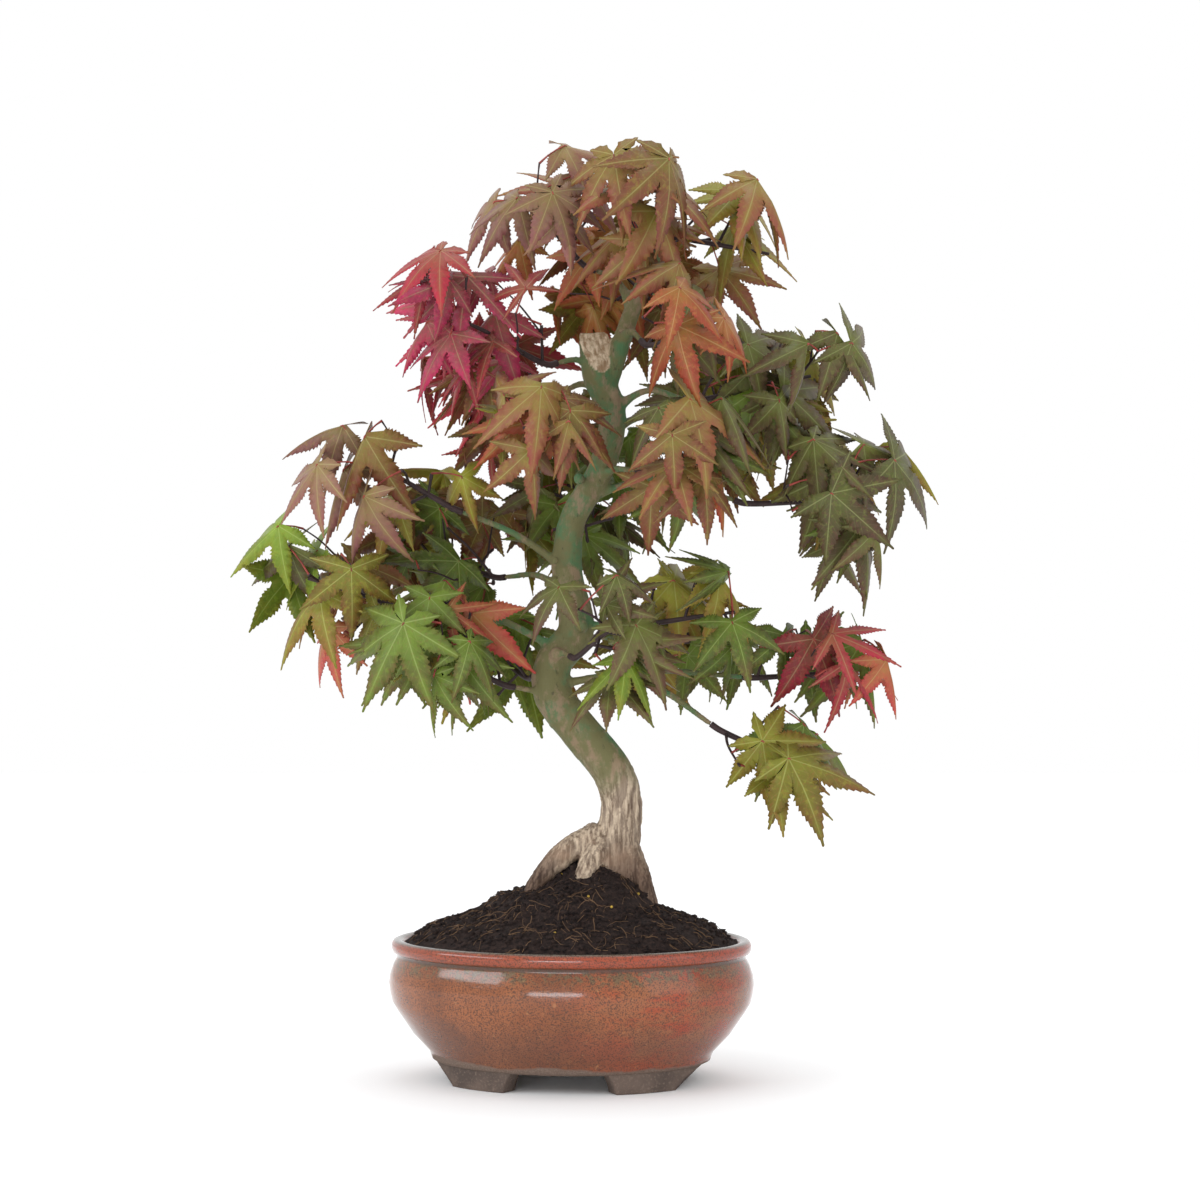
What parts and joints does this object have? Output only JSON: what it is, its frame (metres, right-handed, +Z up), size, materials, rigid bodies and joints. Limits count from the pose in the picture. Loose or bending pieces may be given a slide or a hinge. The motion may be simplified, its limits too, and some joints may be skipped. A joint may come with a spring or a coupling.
{
  "type": "potted maple bonsai",
  "caption": "Miniature maple tree in autumn leaf with a curved trunk, planted in a glazed oval pot on low clay feet.",
  "frame": {"origin": "on the ground, under the middle of the outline of the plant and its pot", "axes": "+Z up, +X to the right as seen from the front, +Y to the back of the tree"},
  "size_m": [0.3975, 0.2288, 0.5407],
  "materials": {
    "glaze": "gloss",
    "compost": "matte",
    "bark": "matte",
    "young_bark": "satin",
    "foliage_top": "satin",
    "foliage_upper": "satin",
    "foliage_middle": "satin",
    "foliage_low": "satin"
  },
  "bodies": {
    "root": {"bough_back_left": "young_bark", "bough_centre_left": "young_bark", "bough_centre_right": "young_bark", "bough_far_left": "young_bark", "bough_low_back_left": "young_bark", "bough_low_back_right": "young_bark", "bough_low_front": "young_bark", "bough_low_left": "young_bark", "bough_low_right": "young_bark", "bough_middle_back": "young_bark", "bough_middle_left": "young_bark", "bough_middle_right": "young_bark", "bough_right_end": "young_bark", "bough_right_hanging": "young_bark", "bough_top_left": "young_bark", "bough_upper_back_left": "young_bark", "bough_upper_back_right": "young_bark", "bough_upper_front": "young_bark", "bough_upper_left": "young_bark", "bough_upper_right": "young_bark", "foliage_back_left": "foliage_middle", "foliage_centre_left": "foliage_middle", "foliage_centre_right": "foliage_middle", "foliage_far_left": "foliage_low", "foliage_low_back_left": "foliage_low", "foliage_low_back_right": "foliage_low", "foliage_low_front": "foliage_low", "foliage_low_left": "foliage_low", "foliage_low_right": "foliage_low", "foliage_middle_back": "foliage_middle", "foliage_middle_left": "foliage_middle", "foliage_middle_right": "foliage_middle", "foliage_right_end": "foliage_low", "foliage_right_hanging": "foliage_low", "foliage_top_back": "foliage_top", "foliage_top_left": "foliage_top", "foliage_top_middle": "foliage_top", "foliage_top_right": "foliage_top", "foliage_upper_back_left": "foliage_middle", "foliage_upper_back_right": "foliage_middle", "foliage_upper_front": "foliage_upper", "foliage_upper_left": "foliage_upper", "foliage_upper_right": "foliage_upper", "leader": "bark", "pot": "glaze", "soil": "compost", "trunk": "bark"}
  },
  "joints": []
}
